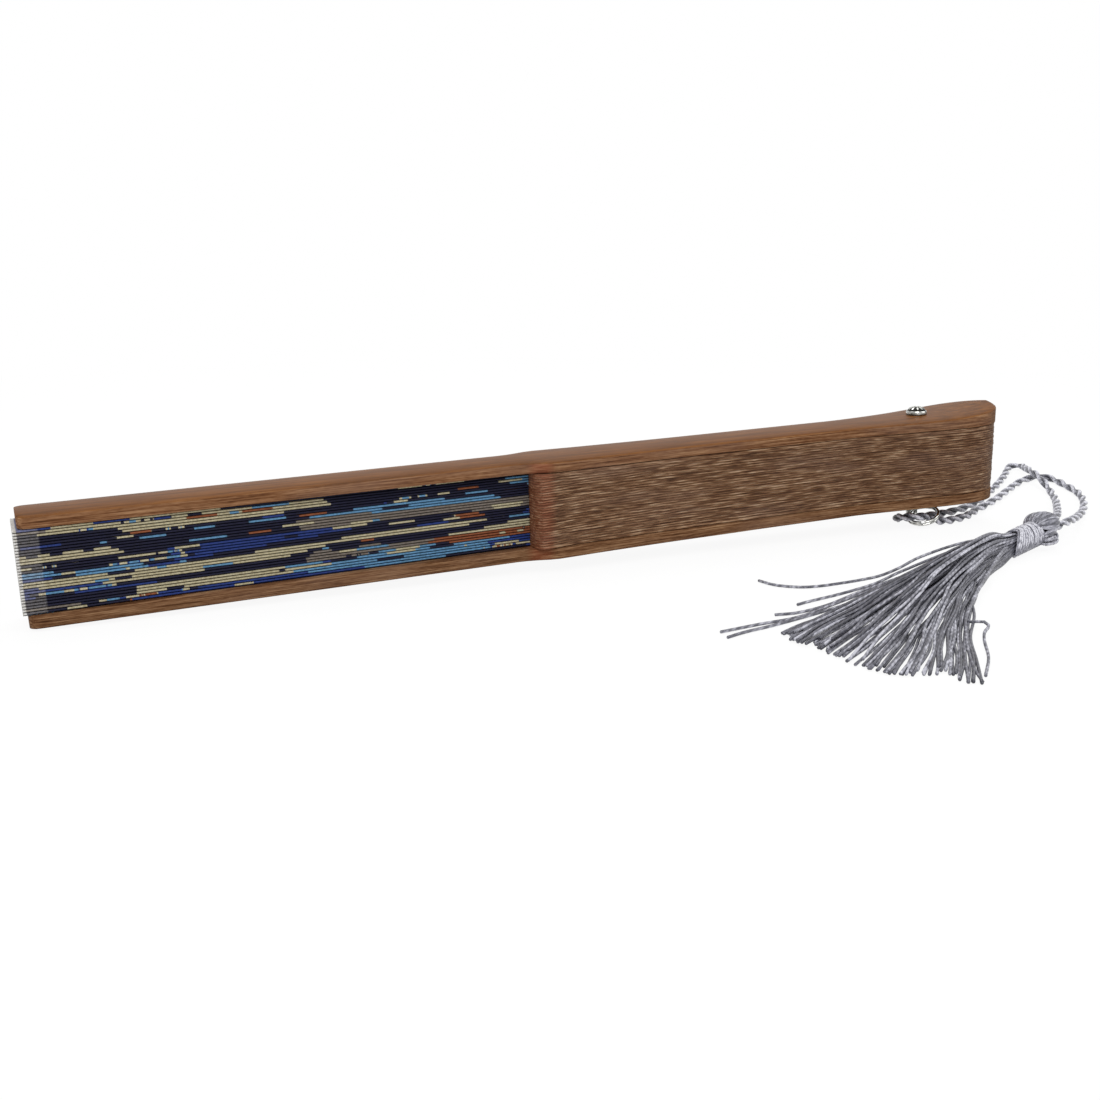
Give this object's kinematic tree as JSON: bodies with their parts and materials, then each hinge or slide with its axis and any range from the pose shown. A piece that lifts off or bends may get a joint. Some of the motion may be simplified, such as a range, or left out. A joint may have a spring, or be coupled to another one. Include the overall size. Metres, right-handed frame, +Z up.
{
  "type": "folding fan",
  "caption": "Closed bamboo folding fan with a pleated printed leaf between thin ribs and two guards on a rivet, with a ring, a looped cord and a tassel.",
  "frame": {"origin": "on the table under the middle of the closed fan's own box, without its cord and tassel", "axes": "+X along the closed fan from the tip to the rivet end, +Y the way the fan opens, +Z up from the table"},
  "size_m": [0.2634, 0.1345, 0.0276],
  "materials": {
    "guard_bamboo": "polished carbonised bamboo",
    "rib_bamboo": "smooth carbonised bamboo",
    "leaf_paper": "matt printed paper",
    "rivet_metal": "plated, engraved head",
    "ring_metal": "bright wire",
    "tassel_thread": "silver-grey twisted thread"
  },
  "bodies": {
    "base": {"back_guard": "guard_bamboo", "leaf": "leaf_paper", "rivet_washer": "rivet_metal"},
    "rib_01": {"rib_01": "rib_bamboo"},
    "rib_02": {"rib_02": "rib_bamboo"},
    "rib_03": {"rib_03": "rib_bamboo"},
    "rib_04": {"rib_04": "rib_bamboo"},
    "rib_05": {"rib_05": "rib_bamboo"},
    "rib_06": {"rib_06": "rib_bamboo"},
    "rib_07": {"rib_07": "rib_bamboo"},
    "rib_08": {"rib_08": "rib_bamboo"},
    "rib_09": {"rib_09": "rib_bamboo"},
    "rib_10": {"rib_10": "rib_bamboo"},
    "rib_11": {"rib_11": "rib_bamboo"},
    "rib_12": {"rib_12": "rib_bamboo"},
    "rib_13": {"rib_13": "rib_bamboo"},
    "rib_14": {"rib_14": "rib_bamboo"},
    "rib_15": {"rib_15": "rib_bamboo"},
    "rib_16": {"rib_16": "rib_bamboo"},
    "rib_17": {"rib_17": "rib_bamboo"},
    "rib_18": {"rib_18": "rib_bamboo"},
    "rib_19": {"rib_19": "rib_bamboo"},
    "rib_20": {"rib_20": "rib_bamboo"},
    "rib_21": {"rib_21": "rib_bamboo"},
    "rib_22": {"rib_22": "rib_bamboo"},
    "rib_23": {"rib_23": "rib_bamboo"},
    "rib_24": {"rib_24": "rib_bamboo"},
    "rib_25": {"rib_25": "rib_bamboo"},
    "rib_26": {"rib_26": "rib_bamboo"},
    "rib_27": {"rib_27": "rib_bamboo"},
    "rib_28": {"rib_28": "rib_bamboo"},
    "front": {"front_guard": "guard_bamboo"},
    "pendant": {"rivet": "rivet_metal", "ring": "ring_metal", "cord_strand_1": "tassel_thread", "cord_bight": "tassel_thread", "cord_strand_2": "tassel_thread", "tassel_head": "tassel_thread", "tassel_binding": "tassel_thread", "tassel_skirt": "tassel_thread"}
  },
  "joints": [
    {"name": "open_01", "type": "hinge", "parent": "base", "child": "rib_01", "pos_m": [0.08535, 0, 0.0049], "axis": [0.0259, 0, -0.9997], "range_deg": [0, 6], "deforming": ["leaf"]},
    {"name": "open_02", "type": "hinge", "parent": "rib_01", "child": "rib_02", "pos_m": [0.08535, 0, 0.0049], "axis": [0.0259, 0, -0.9997], "range_deg": [0, 6]},
    {"name": "open_03", "type": "hinge", "parent": "rib_02", "child": "rib_03", "pos_m": [0.08535, 0, 0.0049], "axis": [0.0259, 0, -0.9997], "range_deg": [0, 6]},
    {"name": "open_04", "type": "hinge", "parent": "rib_03", "child": "rib_04", "pos_m": [0.08535, 0, 0.0049], "axis": [0.0259, 0, -0.9997], "range_deg": [0, 6]},
    {"name": "open_05", "type": "hinge", "parent": "rib_04", "child": "rib_05", "pos_m": [0.08535, 0, 0.0049], "axis": [0.0259, 0, -0.9997], "range_deg": [0, 6]},
    {"name": "open_06", "type": "hinge", "parent": "rib_05", "child": "rib_06", "pos_m": [0.08535, 0, 0.0049], "axis": [0.0259, 0, -0.9997], "range_deg": [0, 6]},
    {"name": "open_07", "type": "hinge", "parent": "rib_06", "child": "rib_07", "pos_m": [0.08535, 0, 0.0049], "axis": [0.0259, 0, -0.9997], "range_deg": [0, 6]},
    {"name": "open_08", "type": "hinge", "parent": "rib_07", "child": "rib_08", "pos_m": [0.08535, 0, 0.0049], "axis": [0.0259, 0, -0.9997], "range_deg": [0, 6]},
    {"name": "open_09", "type": "hinge", "parent": "rib_08", "child": "rib_09", "pos_m": [0.08535, 0, 0.0049], "axis": [0.0259, 0, -0.9997], "range_deg": [0, 6]},
    {"name": "open_10", "type": "hinge", "parent": "rib_09", "child": "rib_10", "pos_m": [0.08535, 0, 0.0049], "axis": [0.0259, 0, -0.9997], "range_deg": [0, 6]},
    {"name": "open_11", "type": "hinge", "parent": "rib_10", "child": "rib_11", "pos_m": [0.08535, 0, 0.0049], "axis": [0.0259, 0, -0.9997], "range_deg": [0, 6]},
    {"name": "open_12", "type": "hinge", "parent": "rib_11", "child": "rib_12", "pos_m": [0.08535, 0, 0.0049], "axis": [0.0259, 0, -0.9997], "range_deg": [0, 6]},
    {"name": "open_13", "type": "hinge", "parent": "rib_12", "child": "rib_13", "pos_m": [0.08535, 0, 0.0049], "axis": [0.0259, 0, -0.9997], "range_deg": [0, 6]},
    {"name": "open_14", "type": "hinge", "parent": "rib_13", "child": "rib_14", "pos_m": [0.08535, 0, 0.0049], "axis": [0.0259, 0, -0.9997], "range_deg": [0, 6]},
    {"name": "open_15", "type": "hinge", "parent": "rib_14", "child": "rib_15", "pos_m": [0.08535, 0, 0.0049], "axis": [0.0259, 0, -0.9997], "range_deg": [0, 6]},
    {"name": "open_16", "type": "hinge", "parent": "rib_15", "child": "rib_16", "pos_m": [0.08535, 0, 0.0049], "axis": [0.0259, 0, -0.9997], "range_deg": [0, 6]},
    {"name": "open_17", "type": "hinge", "parent": "rib_16", "child": "rib_17", "pos_m": [0.08535, 0, 0.0049], "axis": [0.0259, 0, -0.9997], "range_deg": [0, 6]},
    {"name": "open_18", "type": "hinge", "parent": "rib_17", "child": "rib_18", "pos_m": [0.08535, 0, 0.0049], "axis": [0.0259, 0, -0.9997], "range_deg": [0, 6]},
    {"name": "open_19", "type": "hinge", "parent": "rib_18", "child": "rib_19", "pos_m": [0.08535, 0, 0.0049], "axis": [0.0259, 0, -0.9997], "range_deg": [0, 6]},
    {"name": "open_20", "type": "hinge", "parent": "rib_19", "child": "rib_20", "pos_m": [0.08535, 0, 0.0049], "axis": [0.0259, 0, -0.9997], "range_deg": [0, 6]},
    {"name": "open_21", "type": "hinge", "parent": "rib_20", "child": "rib_21", "pos_m": [0.08535, 0, 0.0049], "axis": [0.0259, 0, -0.9997], "range_deg": [0, 6]},
    {"name": "open_22", "type": "hinge", "parent": "rib_21", "child": "rib_22", "pos_m": [0.08535, 0, 0.0049], "axis": [0.0259, 0, -0.9997], "range_deg": [0, 6]},
    {"name": "open_23", "type": "hinge", "parent": "rib_22", "child": "rib_23", "pos_m": [0.08535, 0, 0.0049], "axis": [0.0259, 0, -0.9997], "range_deg": [0, 6]},
    {"name": "open_24", "type": "hinge", "parent": "rib_23", "child": "rib_24", "pos_m": [0.08535, 0, 0.0049], "axis": [0.0259, 0, -0.9997], "range_deg": [0, 6]},
    {"name": "open_25", "type": "hinge", "parent": "rib_24", "child": "rib_25", "pos_m": [0.08535, 0, 0.0049], "axis": [0.0259, 0, -0.9997], "range_deg": [0, 6]},
    {"name": "open_26", "type": "hinge", "parent": "rib_25", "child": "rib_26", "pos_m": [0.08535, 0, 0.0049], "axis": [0.0259, 0, -0.9997], "range_deg": [0, 6]},
    {"name": "open_27", "type": "hinge", "parent": "rib_26", "child": "rib_27", "pos_m": [0.08535, 0, 0.0049], "axis": [0.0259, 0, -0.9997], "range_deg": [0, 6]},
    {"name": "open_28", "type": "hinge", "parent": "rib_27", "child": "rib_28", "pos_m": [0.08535, 0, 0.0049], "axis": [0.0259, 0, -0.9997], "range_deg": [0, 6]},
    {"name": "open_29", "type": "hinge", "parent": "rib_28", "child": "front", "pos_m": [0.08535, 0, 0.0049], "axis": [0.0259, 0, -0.9997], "range_deg": [0, 6]},
    {"name": "pendant_swivel", "type": "hinge", "parent": "base", "child": "pendant", "pos_m": [0.08535, 0, 0.0049], "axis": [-0.0259, 0, 0.9997], "range_deg": [0, 110]}
  ],
  "couplings": [
    {"joint": "open_02", "follows": "open_01", "ratio": 1},
    {"joint": "open_03", "follows": "open_01", "ratio": 1},
    {"joint": "open_04", "follows": "open_01", "ratio": 1},
    {"joint": "open_05", "follows": "open_01", "ratio": 1},
    {"joint": "open_06", "follows": "open_01", "ratio": 1},
    {"joint": "open_07", "follows": "open_01", "ratio": 1},
    {"joint": "open_08", "follows": "open_01", "ratio": 1},
    {"joint": "open_09", "follows": "open_01", "ratio": 1},
    {"joint": "open_10", "follows": "open_01", "ratio": 1},
    {"joint": "open_11", "follows": "open_01", "ratio": 1},
    {"joint": "open_12", "follows": "open_01", "ratio": 1},
    {"joint": "open_13", "follows": "open_01", "ratio": 1},
    {"joint": "open_14", "follows": "open_01", "ratio": 1},
    {"joint": "open_15", "follows": "open_01", "ratio": 1},
    {"joint": "open_16", "follows": "open_01", "ratio": 1},
    {"joint": "open_17", "follows": "open_01", "ratio": 1},
    {"joint": "open_18", "follows": "open_01", "ratio": 1},
    {"joint": "open_19", "follows": "open_01", "ratio": 1},
    {"joint": "open_20", "follows": "open_01", "ratio": 1},
    {"joint": "open_21", "follows": "open_01", "ratio": 1},
    {"joint": "open_22", "follows": "open_01", "ratio": 1},
    {"joint": "open_23", "follows": "open_01", "ratio": 1},
    {"joint": "open_24", "follows": "open_01", "ratio": 1},
    {"joint": "open_25", "follows": "open_01", "ratio": 1},
    {"joint": "open_26", "follows": "open_01", "ratio": 1},
    {"joint": "open_27", "follows": "open_01", "ratio": 1},
    {"joint": "open_28", "follows": "open_01", "ratio": 1},
    {"joint": "open_29", "follows": "open_01", "ratio": 1}
  ]
}
